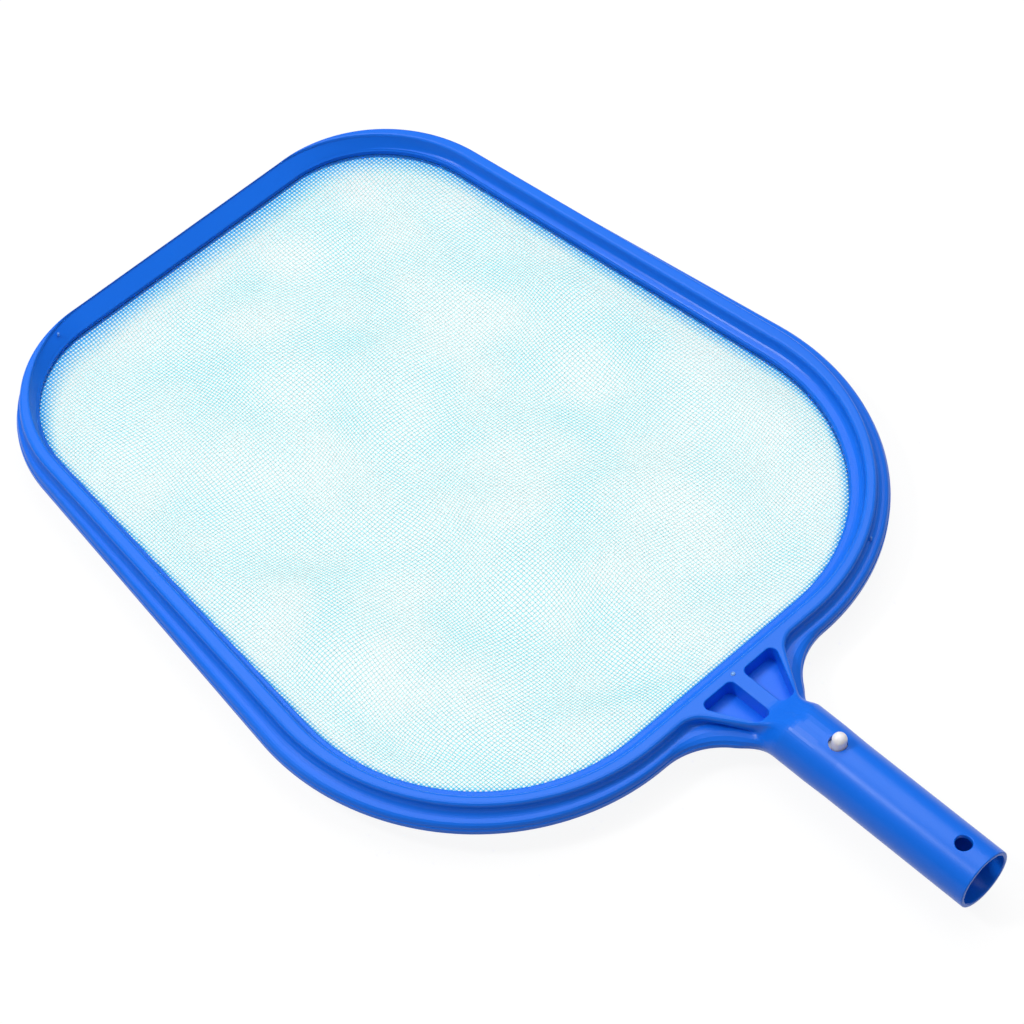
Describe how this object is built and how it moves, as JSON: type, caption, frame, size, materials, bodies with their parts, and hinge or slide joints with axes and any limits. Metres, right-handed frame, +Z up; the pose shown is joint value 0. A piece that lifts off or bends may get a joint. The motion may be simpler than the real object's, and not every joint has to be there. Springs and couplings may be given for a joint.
{
  "type": "leaf skimmer net",
  "caption": "Flat pool skimmer head: rounded one-piece rim with a fine net, and a tube handle with a sprung double lock button for a pole.",
  "frame": {"origin": "under the middle of the whole part, level with the tip of the lower lock button", "axes": "+Y from the handle to the front edge of the net, +X across the net, +Z up out of the open side"},
  "size_m": [0.325, 0.4924, 0.0412],
  "materials": {
    "blue_plastic": "satin moulded",
    "net_fabric": "fine plain weave",
    "white_plastic": "satin moulded"
  },
  "bodies": {
    "skimmer_head": {"front_rim_bar": "blue_plastic", "front_left_corner": "blue_plastic", "front_right_corner": "blue_plastic", "left_side_rail": "blue_plastic", "right_side_rail": "blue_plastic", "rear_left_corner": "blue_plastic", "rear_right_corner": "blue_plastic", "neck_web": "blue_plastic", "pole_tube": "blue_plastic", "net_mesh": "net_fabric", "lock_clip_bend": "white_plastic"},
    "upper_button": {"upper_lock_button": "white_plastic"},
    "lower_button": {"lower_lock_button": "white_plastic"}
  },
  "joints": [
    {"name": "upper_button_press", "type": "hinge", "parent": "skimmer_head", "child": "upper_button", "pos_m": [0, -0.214, 0.0243], "axis": [-1, 0, 0], "range_deg": [0, 7.6], "stiffness_Nm_per_rad": 2.5},
    {"name": "lower_button_press", "type": "hinge", "parent": "skimmer_head", "child": "lower_button", "pos_m": [0, -0.214, 0.0169], "axis": [1, 0, 0], "range_deg": [0, 7.6], "stiffness_Nm_per_rad": 2.5}
  ]
}
